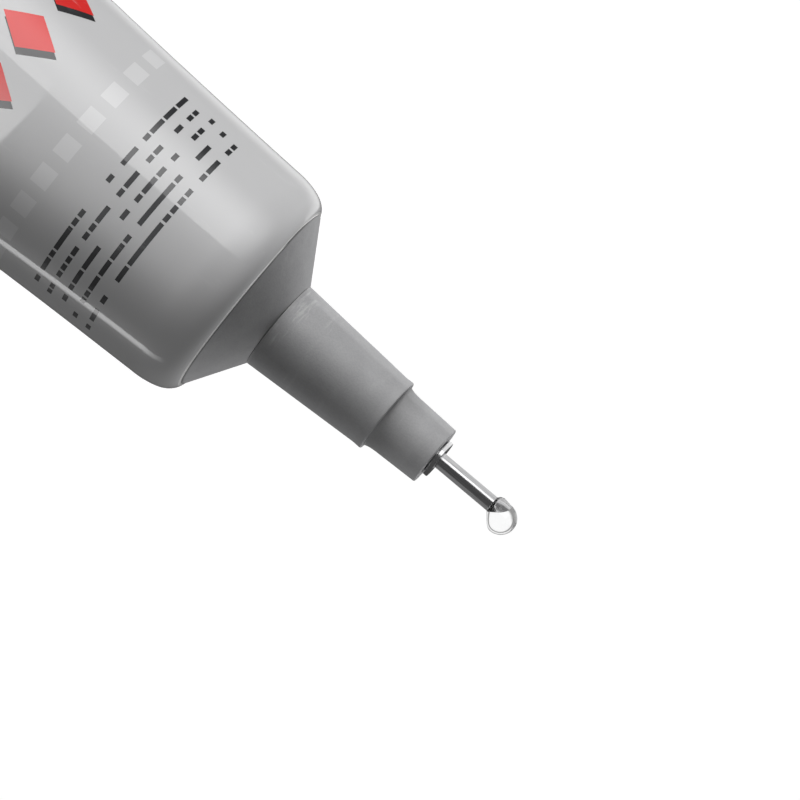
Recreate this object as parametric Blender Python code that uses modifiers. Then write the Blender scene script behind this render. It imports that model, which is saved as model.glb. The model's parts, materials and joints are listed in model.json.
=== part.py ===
"""Squeeze tube of clear glue with a screw-on needle nozzle, lying on its back on a table.

Every piece is modelled in the tube's own frame: +Z runs along the tube's axis towards the needle, +X is the
tube's back and Z = 0 is the plane of the sleeve's rolled end. An empty tilts that frame into the lying pose.
"""

import math

import bmesh
import bpy

MM = 0.001

# Sleeve
SLEEVE_DIAMETER = 22.0 * MM  # where the round part begins to flatten
SLEEVE_WALL = 0.4 * MM
SLEEVE_LENGTH = 85.0 * MM  # from the rolled end to the start of the tail seal
SEAL_LENGTH = 6.0 * MM
MOUTH_ROUND = 1.1 * MM  # outer radius of the rolled end
DRAW_LENGTH = 2.4 * MM  # stretch next to the rolled end that is drawn in over the head
DRAW_DEPTH = 0.25 * MM
SIDE_TAPER = 0.039  # slope of each flat side next to the head
TAIL_POWER = 2.5  # how late the sides close in on the seal
LENS_POWER = 8.0  # how late the oval section turns into the flat seal

# Lying pose
CONTACT_SHARE = 0.40  # where the belly touches the table, as a share of the taper
BELLY_SAG = 0.4 * MM  # how deep the soft belly is pressed flat

# Head: skirt, cone and threaded neck
CONE_HEIGHT = 3.5 * MM
CONE_WALL = 1.0 * MM
CONE_RECESS = 0.1 * MM  # how far the cone's rim lies under the rolled end
SKIRT_REACH = 0.5 * MM  # how far the skirt reaches past the drawn-in stretch
SKIRT_WALL = 0.8 * MM
NECK_BORE = 1.4 * MM  # radius
NECK_WALL = 1.1 * MM
NECK_LENGTH = 5.9 * MM
BARRIER_WALL = 0.3 * MM
BARRIER_MARGIN = 0.7 * MM  # from the barrier's rim to the cone's rim

# Screw thread between neck and nozzle
THREAD_PITCH = 1.8 * MM
THREAD_RIDGE = 0.45 * MM  # radius of the round ridge
THREAD_START = 1.2 * MM  # from the cone's top to the ridge's lower end
THREAD_FINISH = 0.7 * MM  # from the ridge's upper end to the neck's end

# Nozzle
NOZZLE_BASE_RADIUS = 4.2 * MM  # also the cone's upper rim, which the nozzle stands on
NOZZLE_END_RADIUS = 3.5 * MM
NOZZLE_LENGTH = 11.9 * MM  # from its base to the step
STEP_WIDTH = 0.27 * MM
STEP_ROUND = 0.12 * MM  # rounded rim of the step
FLARE_DEPTH = 0.31 * MM  # how far the tip flares out to the step
FLARE_LENGTH = 1.6 * MM
TIP_LENGTH = 5.3 * MM
TIP_TAPER = 0.14 * MM  # how much its radius shrinks from the flare to its end
TIP_ROUND = 0.45 * MM  # rounded end of the tip
SEAT_LEDGE = 0.3 * MM  # ledge in the nozzle's channel that the needle's collar is pressed against
WASHER_THICKNESS = 0.7 * MM
WASHER_MARGIN = 0.35 * MM  # from the washer's rim to the socket's wall

# Needle and its collar
NEEDLE_RADIUS = 0.725 * MM
NEEDLE_WALL = 0.2 * MM
SHANK_WALL = 0.375 * MM
SHANK_LENGTH = 3.3 * MM
FLANGE_WIDTH = 0.58 * MM  # how far the flange stands out from the shank
FLANGE_THICKNESS = 0.42 * MM
NEEDLE_REACH = 6.0 * MM  # from the flange to the needle's end

# Glue drop on the needle
DROP_RADIUS = 1.38 * MM
DROP_DROOP = 0.43 * MM  # how far the drop hangs off the needle's axis
DROP_BITE = 0.15 * MM  # how far the drop climbs the needle
STEM_LENGTH = 3.0 * MM  # of the thread of glue that holds the drop in the needle's bore

# Clearances
SEAT_GAP = 0.15 * MM  # between pieces that are seated, moulded or poured on each other
PRESS_GAP = 0.1 * MM  # between the needle, its collar and the nozzle
THREAD_GAP = 0.2 * MM  # all round the screw thread

WELD = 0.001 * MM  # points closer than this are one point

# Facets
SLEEVE_SIDES = 48
TURN_STEPS = 40
SMALL_STEPS = 20
ARC_STEPS = 4
BODY_RINGS = 14
HELIX_STEPS = 20  # points in each turn of the thread

# Places along the axis that several pieces share
SLEEVE_RADIUS = SLEEVE_DIAMETER / 2
GIRTH = math.pi * SLEEVE_DIAMETER
DRAW_START = -(MOUTH_ROUND + DRAW_LENGTH)
SEAL_START = -SLEEVE_LENGTH
TAIL_END = SEAL_START - SEAL_LENGTH
TAPER_LENGTH = DRAW_START - SEAL_START
DRAWN_RADIUS = SLEEVE_RADIUS - DRAW_DEPTH
MOUTH_RADIUS = DRAWN_RADIUS - MOUTH_ROUND
CONE_BASE_RADIUS = MOUTH_RADIUS - SEAT_GAP
CONE_SLOPE = (CONE_HEIGHT + CONE_RECESS) / (CONE_BASE_RADIUS - NOZZLE_BASE_RADIUS)
SKIRT_END = DRAW_START - SKIRT_REACH
SKIRT_RADIUS = SLEEVE_RADIUS - SLEEVE_WALL - SEAT_GAP
NECK_END = CONE_HEIGHT + NECK_LENGTH
NOZZLE_BASE = CONE_HEIGHT + SEAT_GAP
STEP_PLACE = NOZZLE_BASE + NOZZLE_LENGTH
TIP_END = STEP_PLACE + TIP_LENGTH
WASHER_PLACE = NECK_END + SEAT_GAP
LAND_PLACE = WASHER_PLACE + WASHER_THICKNESS + SEAT_GAP
FLANGE_PLACE = TIP_END + PRESS_GAP
SHANK_END = FLANGE_PLACE - SHANK_LENGTH
SEAT_PLACE = SHANK_END - PRESS_GAP
NEEDLE_END = FLANGE_PLACE + FLANGE_THICKNESS + NEEDLE_REACH
DROP_PLACE = NEEDLE_END + DROP_RADIUS - DROP_BITE

# Radii that several pieces share
NECK_RADIUS = NECK_BORE + NECK_WALL
SOCKET_RADIUS = NECK_RADIUS + THREAD_GAP
TIP_BASE_RADIUS = NOZZLE_END_RADIUS - STEP_WIDTH - FLARE_DEPTH
TIP_END_RADIUS = TIP_BASE_RADIUS - TIP_TAPER
NEEDLE_BORE = NEEDLE_RADIUS - NEEDLE_WALL
NEEDLE_HOLE = NEEDLE_RADIUS + PRESS_GAP
SHANK_RADIUS = NEEDLE_HOLE + SHANK_WALL
SHANK_SEAT = SHANK_RADIUS + PRESS_GAP
FLANGE_RADIUS = SHANK_RADIUS + FLANGE_WIDTH
CHANNEL_RADIUS = SHANK_SEAT - SEAT_LEDGE

# Screw thread, counted in steps along its helix
GROOVE_RADIUS = THREAD_RIDGE + THREAD_GAP
THREAD_STEPS = math.floor(HELIX_STEPS * (NECK_LENGTH - THREAD_START - THREAD_FINISH) / THREAD_PITCH)


def half_thickness(z):
    """Half the sleeve's thickness, front to back, at a place behind the drawn-in stretch."""
    share = (DRAW_START - z) / TAPER_LENGTH
    early = SIDE_TAPER * TAPER_LENGTH
    late = SLEEVE_RADIUS - SLEEVE_WALL - early
    return SLEEVE_RADIUS - early * share - late * share**TAIL_POWER


def taper_slope(share):
    """Slope of the sleeve's back at a share of the taper."""
    early = SIDE_TAPER * TAPER_LENGTH
    late = SLEEVE_RADIUS - SLEEVE_WALL - early
    return (early + late * TAIL_POWER * share ** (TAIL_POWER - 1)) / TAPER_LENGTH


def half_width(thickness):
    """Half-width of the oval that has the sleeve's girth and this half-thickness."""
    low, high = SLEEVE_RADIUS, GIRTH / 2
    for _ in range(60):
        width = (low + high) / 2
        root = math.sqrt((3 * width + thickness) * (width + 3 * thickness))
        if math.pi * (3 * (width + thickness) - root) < GIRTH:
            low = width
        else:
            high = width
    return (low + high) / 2


# The lying pose follows from the shape of the back: the belly's tangent lies along the table
CONTACT_PLACE = DRAW_START - CONTACT_SHARE * TAPER_LENGTH
TILT = math.atan(taper_slope(CONTACT_SHARE))
AXIS_HEIGHT = half_thickness(CONTACT_PLACE) * math.cos(TILT) - CONTACT_PLACE * math.sin(TILT) - BELLY_SAG
FRONT_END = DROP_PLACE * math.cos(TILT) + DROP_RADIUS
BACK_END = TAIL_END * math.cos(TILT) - SLEEVE_WALL * math.sin(TILT)


def table_depth(z):
    """How far behind the axis the table lies at a place along it."""
    return (AXIS_HEIGHT + z * math.sin(TILT)) / math.cos(TILT)


def clear_scene():
    for obj in list(bpy.data.objects):
        bpy.data.objects.remove(obj, do_unlink=True)


def make_collection(name):
    collection = bpy.data.collections.new(name)
    bpy.context.scene.collection.children.link(collection)
    return collection


def make_material(name, colour, roughness, metallic=0.0, transmission=0.0):
    material = bpy.data.materials.new(name)
    material.use_nodes = True
    shader = material.node_tree.nodes["Principled BSDF"]
    shader.inputs["Base Color"].default_value = (*colour, 1.0)
    shader.inputs["Roughness"].default_value = roughness
    shader.inputs["Metallic"].default_value = metallic
    shader.inputs["Transmission Weight"].default_value = transmission
    return material


def arc(centre, radius, start, end, steps=ARC_STEPS):
    """Points on an arc in the (radius, height) plane, from one angle in degrees to another."""
    angles = [math.radians(start + (end - start) * i / steps) for i in range(steps + 1)]
    return [(centre[0] + radius * math.cos(a), centre[1] + radius * math.sin(a)) for a in angles]


def shade(obj, angle=30):
    obj.data.shade_smooth()
    obj.data.set_sharp_from_angle(angle=math.radians(angle))


def add_object(name, mesh, collection, material=None):
    obj = bpy.data.objects.new(name, mesh)
    collection.objects.link(obj)
    if material:
        mesh.materials.append(material)
    return obj


def turned(name, outline, collection, material=None, steps=TURN_STEPS, closed=True):
    """A solid turned about the axis from (radius, height) points that run down its outer side."""
    count = len(outline)
    edges = [(i, (i + 1) % count) for i in range(count if closed else count - 1)]
    mesh = bpy.data.meshes.new(name)
    mesh.from_pydata([(r, 0, z) for r, z in outline], edges, [])
    obj = add_object(name, mesh, collection, material)
    screw = obj.modifiers.new("Turn", "SCREW")
    screw.steps = screw.render_steps = steps
    screw.use_merge_vertices = True
    screw.merge_threshold = WELD
    screw.use_smooth_shade = True
    return obj


def helix_tube(name, tube_radius, first_step, last_step, collection):
    """A round tube wound on the neck along the thread, between two steps from the ridge's lower end."""
    curve = bpy.data.curves.new(name, "CURVE")
    curve.dimensions = "3D"
    curve.bevel_depth = tube_radius
    curve.bevel_resolution = 1
    curve.use_fill_caps = True
    curve.twist_mode = "Z_UP"
    spline = curve.splines.new("POLY")
    spline.points.add(last_step - first_step)
    for index, point in enumerate(spline.points):
        turn = (first_step + index) / HELIX_STEPS
        angle = 2 * math.pi * turn
        height = CONE_HEIGHT + THREAD_START + THREAD_PITCH * turn
        point.co = (NECK_RADIUS * math.cos(angle), NECK_RADIUS * math.sin(angle), height, 1)
    wire = bpy.data.objects.new(name + "_wire", curve)
    collection.objects.link(wire)
    graph = bpy.context.evaluated_depsgraph_get()
    mesh = bpy.data.meshes.new_from_object(wire.evaluated_get(graph))
    bpy.data.objects.remove(wire, do_unlink=True)
    work = bmesh.new()
    work.from_mesh(mesh)
    bmesh.ops.remove_doubles(work, verts=work.verts, dist=WELD)
    bmesh.ops.recalc_face_normals(work, faces=work.faces)
    work.to_mesh(mesh)
    work.free()
    return add_object(name, mesh, collection)


def hide_helper(obj):
    obj.hide_render = True
    obj.display_type = "WIRE"


def combine(obj, other, operation):
    boolean = obj.modifiers.new(operation.title(), "BOOLEAN")
    boolean.operation = operation
    boolean.object = other
    hide_helper(other)


def loft(name, rings, collection, material):
    """A solid skinned over rings of equal point counts, closed by a strip across its first and last ring."""
    work = bmesh.new()
    loops = [[work.verts.new(p) for p in ring] for ring in rings]
    count = len(loops[0])
    for first, second in zip(loops, loops[1:]):
        for i in range(count):
            j = (i + 1) % count
            work.faces.new((first[i], first[j], second[j], second[i]))
    for loop in (loops[0], loops[-1]):
        for i in range(count // 2):
            corners = [loop[i], loop[i + 1], loop[count - i - 1], loop[-i]]
            work.faces.new(list(dict.fromkeys(corners)))
    bmesh.ops.recalc_face_normals(work, faces=work.faces)
    mesh = bpy.data.meshes.new(name)
    work.to_mesh(mesh)
    work.free()
    obj = add_object(name, mesh, collection, material)
    shade(obj, 40)
    return obj


def oval_ring(z, inset):
    """Points of the flattening sleeve at a place, set in from its outer skin and held above the table."""
    thickness = half_thickness(z)
    width = half_width(thickness) - inset
    flatness = max(0.0, 1 - ((DRAW_START - z) / TAPER_LENGTH) ** LENS_POWER)
    ring = []
    for i in range(SLEEVE_SIDES):
        angle = 2 * math.pi * i / SLEEVE_SIDES
        side = math.sin(angle)
        bulge = math.copysign(abs(side) ** flatness, side)
        if i % (SLEEVE_SIDES // 2) == 0:
            bulge = 0.0  # on the fold at either side
        depth = min((thickness - inset) * bulge, table_depth(z) - inset)
        ring.append((depth, width * math.cos(angle), z))
    return ring


def round_ring(radius, z):
    angles = [2 * math.pi * i / SLEEVE_SIDES for i in range(SLEEVE_SIDES)]
    return [(radius * math.sin(a), radius * math.cos(a), z) for a in angles]


def taper_places(end, rings):
    """Places from the drawn-in stretch back to an end, closer together towards the tail."""
    span = DRAW_START - end
    return [DRAW_START - span * math.sin(math.pi / 2 * i / rings) for i in range(1, rings + 1)]


def rolled_end(inset):
    """Rings of the drawn-in stretch and the rolled end, from the taper to the mouth, set in from the skin."""
    centre = (DRAWN_RADIUS - MOUTH_ROUND, -MOUTH_ROUND)
    rings = [round_ring(SLEEVE_RADIUS - inset, DRAW_START)]
    rings += [round_ring(r, z) for r, z in arc(centre, MOUTH_ROUND - inset, 0, 90)]
    return rings


def cavity_end():
    """Where the sleeve's inner walls have come within a seat gap of each other, just before the seal."""
    low, high = SEAL_START, DRAW_START
    for _ in range(60):
        place = (low + high) / 2
        if half_thickness(place) - SLEEVE_WALL < 2 * SEAT_GAP:
            low = place
        else:
            high = place
    return high


def make_sleeve(collection, material):
    """The printed laminate sleeve: a thin shell, rolled in at the head and sealed flat at the tail."""
    tail = [[(x, y, TAIL_END) for x, y, _ in oval_ring(SEAL_START, 0.0)]]
    outer = [oval_ring(z, 0.0) for z in reversed(taper_places(SEAL_START, BODY_RINGS))]
    inner = [oval_ring(z, SLEEVE_WALL) for z in taper_places(cavity_end(), BODY_RINGS)]
    rings = tail + outer + rolled_end(0.0) + rolled_end(SLEEVE_WALL)[::-1] + inner
    return loft("sleeve", rings, collection, material)


def cone_height(radius, depth=0.0):
    """Height of the cone's surface at a radius, or of a surface that lies a depth under it."""
    drop = depth * math.hypot(1, CONE_SLOPE)
    return -CONE_RECESS + (CONE_BASE_RADIUS - radius) * CONE_SLOPE - drop


def cone_bend(depth):
    """Point where a surface a depth under the head turns from its cone to the flat round the neck."""
    flat = CONE_HEIGHT - depth
    drop = depth * math.hypot(1, CONE_SLOPE)
    return CONE_BASE_RADIUS - (flat + CONE_RECESS + drop) / CONE_SLOPE, flat


def make_shoulder(collection, helpers, material):
    """The moulded head: a skirt inside the sleeve, a cone and a hollow neck with a round-ridged thread."""
    roll = (DRAWN_RADIUS - MOUTH_ROUND, -MOUTH_ROUND)
    under_roll = MOUTH_ROUND - SLEEVE_WALL - SEAT_GAP
    inner_skirt = SKIRT_RADIUS - SKIRT_WALL
    inner_rim = cone_height(inner_skirt, CONE_WALL)
    outline = [
        (NECK_BORE, NECK_END),
        (NECK_RADIUS, NECK_END),
        (NECK_RADIUS, CONE_HEIGHT),
        (NOZZLE_BASE_RADIUS, CONE_HEIGHT),
        (CONE_BASE_RADIUS, -CONE_RECESS),
        (CONE_BASE_RADIUS, roll[1] + under_roll),
        *arc(roll, under_roll, 90, 0),
        (SKIRT_RADIUS, DRAW_START),
        (SKIRT_RADIUS, SKIRT_END),
        (inner_skirt, SKIRT_END),
        (inner_skirt, min(inner_rim, -MOUTH_ROUND)),
        cone_bend(CONE_WALL),
        (NECK_BORE, CONE_HEIGHT - CONE_WALL),
    ]
    shoulder = turned("shoulder", outline, collection, material)
    ridge = helix_tube("thread_ridge", THREAD_RIDGE, 0, THREAD_STEPS, helpers)
    combine(shoulder, ridge, "UNION")
    return shoulder


def make_barrier(collection, material):
    """The barrier laminate disc that lines the inside of the cone."""
    inner = NECK_BORE + SEAT_GAP
    outer = CONE_BASE_RADIUS - BARRIER_MARGIN
    top = CONE_WALL + SEAT_GAP
    under = top + BARRIER_WALL
    outline = [
        (inner, CONE_HEIGHT - top),
        cone_bend(top),
        (outer, cone_height(outer, top)),
        (outer, cone_height(outer, under)),
        cone_bend(under),
        (inner, CONE_HEIGHT - under),
    ]
    return turned("barrier_disc", outline, collection, material)


def make_glue_fill(collection, material):
    """The glue in the sleeve, under the barrier disc and up through the neck."""
    inset = SLEEVE_WALL + SEAT_GAP
    depth = CONE_WALL + BARRIER_WALL + 2 * SEAT_GAP
    belly = [oval_ring(z, inset) for z in reversed(taper_places(cavity_end(), BODY_RINGS))]
    belly = [ring for ring in belly if ring[0][2] < SKIRT_END - SEAT_GAP]
    bore = NECK_BORE - SEAT_GAP
    crown = SKIRT_RADIUS - SKIRT_WALL - SEAT_GAP
    rim = min(cone_height(crown, depth), -MOUTH_ROUND - SEAT_GAP)
    rings = belly + [
        round_ring(crown, SKIRT_END),
        round_ring(crown, rim),
        round_ring(*cone_bend(depth)),
        round_ring(bore, CONE_HEIGHT - depth),
        round_ring(bore, NECK_END),
    ]
    return loft("glue_fill", rings, collection, material)


def make_washer(collection, material):
    """The soft washer that the nozzle presses on the neck's end."""
    rim = SOCKET_RADIUS - WASHER_MARGIN
    outline = [
        (rim, WASHER_PLACE + WASHER_THICKNESS),
        (rim, WASHER_PLACE),
        (NECK_BORE, WASHER_PLACE),
        (NECK_BORE, WASHER_PLACE + WASHER_THICKNESS),
    ]
    return turned("seal_washer", outline, collection, material, SMALL_STEPS)


def tip_flare():
    """Points of the tip's hollow flare, from its straight side down to the step."""
    angles = [math.pi / 2 * (1 - i / ARC_STEPS) for i in range(ARC_STEPS + 1)]
    reach = [(1 - math.sin(a), 1 - math.cos(a)) for a in angles]
    return [(TIP_BASE_RADIUS + FLARE_DEPTH * out, STEP_PLACE + FLARE_LENGTH * up) for out, up in reach]


def make_nozzle(collection, helpers, material):
    """The tapered nozzle with its step and thinner tip, screwed on the neck by the groove in its socket."""
    tip_edge = arc((TIP_END_RADIUS - TIP_ROUND, TIP_END - TIP_ROUND), TIP_ROUND, 90, 0)
    step_edge = arc((NOZZLE_END_RADIUS - STEP_ROUND, STEP_PLACE - STEP_ROUND), STEP_ROUND, 90, 0, 2)
    outline = [
        (SHANK_SEAT, TIP_END),
        *tip_edge,
        *tip_flare(),
        *step_edge,
        (NOZZLE_BASE_RADIUS, NOZZLE_BASE),
        (SOCKET_RADIUS, NOZZLE_BASE),
        (SOCKET_RADIUS, LAND_PLACE),
        (CHANNEL_RADIUS, LAND_PLACE),
        (CHANNEL_RADIUS, SEAT_PLACE),
        (SHANK_SEAT, SEAT_PLACE),
    ]
    nozzle = turned("nozzle", outline, collection, material)
    run_in = math.ceil(HELIX_STEPS * (THREAD_START + GROOVE_RADIUS) / THREAD_PITCH)
    groove = helix_tube("thread_groove", GROOVE_RADIUS, -run_in, THREAD_STEPS + 1, helpers)
    combine(nozzle, groove, "DIFFERENCE")
    return nozzle


def make_needle_collar(collection, material):
    """The steel collar: a flange on the nozzle's end face and a shank pressed into the nozzle."""
    outline = [
        (NEEDLE_HOLE, FLANGE_PLACE + FLANGE_THICKNESS),
        (FLANGE_RADIUS, FLANGE_PLACE + FLANGE_THICKNESS),
        (FLANGE_RADIUS, FLANGE_PLACE),
        (SHANK_RADIUS, FLANGE_PLACE),
        (SHANK_RADIUS, SHANK_END),
        (NEEDLE_HOLE, SHANK_END),
    ]
    return turned("needle_collar", outline, collection, material, SMALL_STEPS)


def make_needle(collection, material):
    """The steel capillary, from the end of the collar's shank to the drop."""
    outline = [
        (NEEDLE_RADIUS, NEEDLE_END),
        (NEEDLE_RADIUS, SHANK_END),
        (NEEDLE_BORE, SHANK_END),
        (NEEDLE_BORE, NEEDLE_END),
    ]
    return turned("needle", outline, collection, material, SMALL_STEPS)


def make_glue_column(collection, material):
    """The glue in the nozzle's channel, from the washer's hole to the collar's shank."""
    radius = CHANNEL_RADIUS - SEAT_GAP
    outline = [
        (0.0, SHANK_END - SEAT_GAP),
        (radius, SHANK_END - SEAT_GAP),
        (radius, WASHER_PLACE),
        (0.0, WASHER_PLACE),
    ]
    return turned("glue_column", outline, collection, material, SMALL_STEPS, closed=False)


def make_glue_drop(collection, helpers, material):
    """The drop on the needle's end, with the thread of glue that holds it in the needle's bore."""
    mesh = bpy.data.meshes.new("glue_drop")
    work = bmesh.new()
    bmesh.ops.create_uvsphere(work, u_segments=SMALL_STEPS, v_segments=SMALL_STEPS // 2, radius=DROP_RADIUS)
    bmesh.ops.translate(work, verts=work.verts, vec=(0, -DROP_DROOP, DROP_PLACE))
    work.to_mesh(mesh)
    work.free()
    drop = add_object("glue_drop", mesh, collection, material)
    space_outline = [
        (0.0, NEEDLE_END + PRESS_GAP),
        (NEEDLE_HOLE, NEEDLE_END + PRESS_GAP),
        (NEEDLE_HOLE, NEEDLE_END - DROP_RADIUS),
        (0.0, NEEDLE_END - DROP_RADIUS),
    ]
    cutter = turned("needle_space", space_outline, helpers, steps=SMALL_STEPS, closed=False)
    combine(drop, cutter, "DIFFERENCE")
    stem_radius = NEEDLE_BORE - PRESS_GAP
    stem_outline = [
        (0.0, NEEDLE_END + DROP_RADIUS / 2),
        (stem_radius, NEEDLE_END + DROP_RADIUS / 2),
        (stem_radius, NEEDLE_END - STEM_LENGTH),
        (0.0, NEEDLE_END - STEM_LENGTH),
    ]
    stem = turned("drop_stem", stem_outline, helpers, steps=SMALL_STEPS // 2, closed=False)
    combine(drop, stem, "UNION")
    return drop


def main():
    clear_scene()
    parts = make_collection("glue_tube")
    helpers = make_collection("glue_tube_cutters")
    grey = (0.30, 0.30, 0.31)
    steel = (0.62, 0.62, 0.63)
    clear = (0.95, 0.95, 0.94)

    axis = bpy.data.objects.new("tube_axis", None)
    axis.rotation_euler = (0.0, math.pi / 2 - TILT, 0.0)
    axis.location = (-(FRONT_END + BACK_END) / 2, 0.0, AXIS_HEIGHT)
    parts.objects.link(axis)

    pieces = [
        make_sleeve(parts, make_material("printed_laminate", (0.66, 0.66, 0.67), 0.25, 0.2)),
        make_shoulder(parts, helpers, make_material("shoulder_moulding", grey, 0.55)),
        make_barrier(parts, make_material("barrier_foil", (0.72, 0.72, 0.74), 0.35, 0.8)),
        make_glue_fill(parts, make_material("glue_in_sleeve", clear, 0.1, transmission=1.0)),
        make_washer(parts, make_material("washer_foam", (0.80, 0.80, 0.78), 0.6)),
        make_nozzle(parts, helpers, make_material("nozzle_moulding", grey, 0.5)),
        make_needle_collar(parts, make_material("collar_steel", steel, 0.25, 1.0)),
        make_needle(parts, make_material("needle_steel", steel, 0.15, 1.0)),
        make_glue_column(parts, make_material("glue_in_nozzle", clear, 0.1, transmission=1.0)),
        make_glue_drop(parts, helpers, make_material("glue_on_needle", clear, 0.05, transmission=1.0)),
    ]
    for piece in pieces + list(helpers.objects):
        piece.parent = axis


main()
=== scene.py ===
import bpy
import bmesh
import json
import math
from mathutils import Matrix, Vector


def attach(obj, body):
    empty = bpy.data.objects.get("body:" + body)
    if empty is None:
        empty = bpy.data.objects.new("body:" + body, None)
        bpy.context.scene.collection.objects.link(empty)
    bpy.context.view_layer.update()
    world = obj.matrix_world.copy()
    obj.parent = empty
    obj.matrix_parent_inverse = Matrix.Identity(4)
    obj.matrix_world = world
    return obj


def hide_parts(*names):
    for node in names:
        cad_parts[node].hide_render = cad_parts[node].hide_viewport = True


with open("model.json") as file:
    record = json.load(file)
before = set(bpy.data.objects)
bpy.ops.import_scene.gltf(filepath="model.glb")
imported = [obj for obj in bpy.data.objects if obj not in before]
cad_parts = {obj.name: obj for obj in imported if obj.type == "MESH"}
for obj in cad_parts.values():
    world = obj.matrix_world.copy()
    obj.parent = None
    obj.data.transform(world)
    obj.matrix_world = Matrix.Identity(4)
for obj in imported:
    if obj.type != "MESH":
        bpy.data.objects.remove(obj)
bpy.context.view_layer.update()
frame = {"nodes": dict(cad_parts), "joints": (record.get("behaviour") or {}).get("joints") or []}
print("frame loaded, solids:", len(frame["nodes"]))

# The tube's own axes, in mm: x to its back, y across, z along it to the needle,
# zero at the sleeve's rolled end
place = {
    "baseAlong": 3.65,  # the turning joint sits at the nozzle's base, this far from the rolled end
    "mm": 0.001,
}
turnJoint = next(j for j in frame["joints"] if j["name"] == "nozzle_turn")
alongTube = Vector(turnJoint["axis"]).normalized()
toBack = Vector((alongTube.z, 0.0, -alongTube.x))
tubeOrigin = Vector(turnJoint["pos_m"]) - alongTube * place["baseAlong"] * place["mm"]
tubeTurn = Matrix((toBack, Vector((0, 1, 0)), alongTube)).transposed()
tubePlace = Matrix.Translation(tubeOrigin) @ tubeTurn.to_4x4() @ Matrix.Scale(place["mm"], 4)


# Shader helpers
def plugIn(tree, slots, values):
    for slot, value in zip(slots, values):
        if isinstance(value, bpy.types.NodeSocket):
            tree.links.new(value, slot)
        else:
            slot.default_value = value


def feed(tree, node, **values):
    plugIn(tree, [node.inputs[label.replace("_", " ")] for label in values], values.values())


def calc(tree, operation, *values, clamp=False):
    node = tree.nodes.new("ShaderNodeMath")
    node.operation = operation
    node.use_clamp = clamp
    plugIn(tree, node.inputs, values)
    return node.outputs[0]


def vectorCalc(tree, operation, *values):
    node = tree.nodes.new("ShaderNodeVectorMath")
    node.operation = operation
    plugIn(tree, node.inputs, values)
    return node.outputs


def splitAxes(tree, vector):
    node = tree.nodes.new("ShaderNodeSeparateXYZ")
    tree.links.new(vector, node.inputs[0])
    return node.outputs


def noiseAt(tree, vector, scale, detail=2.0, rough=0.5):
    node = tree.nodes.new("ShaderNodeTexNoise")
    feed(tree, node, Vector=vector, Scale=scale, Detail=detail, Roughness=rough)
    return node.outputs[0]


def remap(tree, value, low, high, newLow=0.0, newHigh=1.0):
    node = tree.nodes.new("ShaderNodeMapRange")
    node.interpolation_type = "SMOOTHSTEP"
    plugIn(tree, node.inputs, (value, low, high, newLow, newHigh))
    return node.outputs[0]


def blendColour(tree, share, under, over):
    node = tree.nodes.new("ShaderNodeMix")
    node.data_type = "RGBA"
    plugIn(tree, (node.inputs[0], node.inputs[6], node.inputs[7]), (share, under, over))
    return node.outputs[2]


def stretched(tree, vector, scale, shift=(0, 0, 0)):
    node = tree.nodes.new("ShaderNodeMapping")
    feed(tree, node, Vector=vector, Scale=scale, Location=shift)
    return node.outputs[0]


def offFrom(tree, value, middle):
    return calc(tree, "ABSOLUTE", calc(tree, "SUBTRACT", value, middle))


def allOf(tree, mask, *gates):
    for gate in gates:
        mask = calc(tree, "MULTIPLY", mask, gate)
    return mask


def roughFrom(tree, rough, *changes):
    for value, amount in changes:
        rough = calc(tree, "ADD", rough, calc(tree, "MULTIPLY", value, amount))
    return rough


def newGroup(name, inputs, outputs):
    group = bpy.data.node_groups.new(name, "ShaderNodeTree")
    for label, kind, start in inputs:
        slot = group.interface.new_socket(name=label, in_out="INPUT", socket_type=kind)
        if start is not None:
            slot.default_value = start
    for label in outputs:
        group.interface.new_socket(name=label, in_out="OUTPUT", socket_type="NodeSocketFloat")
    return group, group.nodes.new("NodeGroupInput").outputs, group.nodes.new("NodeGroupOutput").inputs


# Fine grain of a moulded or drawn surface: a height for the bump and a slow change of tone
grainNoise = {"detail": 3.0, "rough": 0.6, "slowShare": 0.09, "middle": 0.5}
grainGroup, grainIn, grainOut = newGroup(
    "surfaceGrain",
    [("Vector", "NodeSocketVector", None), ("Scale", "NodeSocketFloat", 2.0)],
    ["Height", "Tone"],
)
fineGrain = noiseAt(grainGroup, grainIn["Vector"], grainIn["Scale"], grainNoise["detail"],
                    grainNoise["rough"])
slowScale = calc(grainGroup, "MULTIPLY", grainIn["Scale"], grainNoise["slowShare"])
slowTone = noiseAt(grainGroup, grainIn["Vector"], slowScale)
grainGroup.links.new(fineGrain, grainOut["Height"])
grainGroup.links.new(calc(grainGroup, "SUBTRACT", slowTone, grainNoise["middle"]), grainOut["Tone"])

# Short rub marks from handling, as a mask
rubNoise = {
    "detail": 4.0, "rough": 0.65, "sharpness": 9.0,
    "patchShare": 0.21, "patchDetail": 1.0, "patchReach": (0.48, 0.62),
}
rubGroup, rubIn, rubOut = newGroup(
    "rubMarks",
    [("Vector", "NodeSocketVector", None), ("Scale", "NodeSocketFloat", 1.0),
     ("Start", "NodeSocketFloat", 0.62)],
    ["Mask"],
)
streak = noiseAt(rubGroup, rubIn["Vector"], rubIn["Scale"], rubNoise["detail"], rubNoise["rough"])
patchScale = calc(rubGroup, "MULTIPLY", rubIn["Scale"], rubNoise["patchShare"])
patch = noiseAt(rubGroup, rubIn["Vector"], patchScale, rubNoise["patchDetail"])
streakOver = calc(rubGroup, "SUBTRACT", streak, rubIn["Start"])
streakMask = calc(rubGroup, "MULTIPLY", streakOver, rubNoise["sharpness"], clamp=True)
patchMask = remap(rubGroup, patch, *rubNoise["patchReach"])
rubGroup.links.new(calc(rubGroup, "MULTIPLY", streakMask, patchMask), rubOut["Mask"])


def useGroup(tree, group, **values):
    node = tree.nodes.new("ShaderNodeGroup")
    node.node_tree = group
    feed(tree, node, **values)
    return node.outputs


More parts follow.
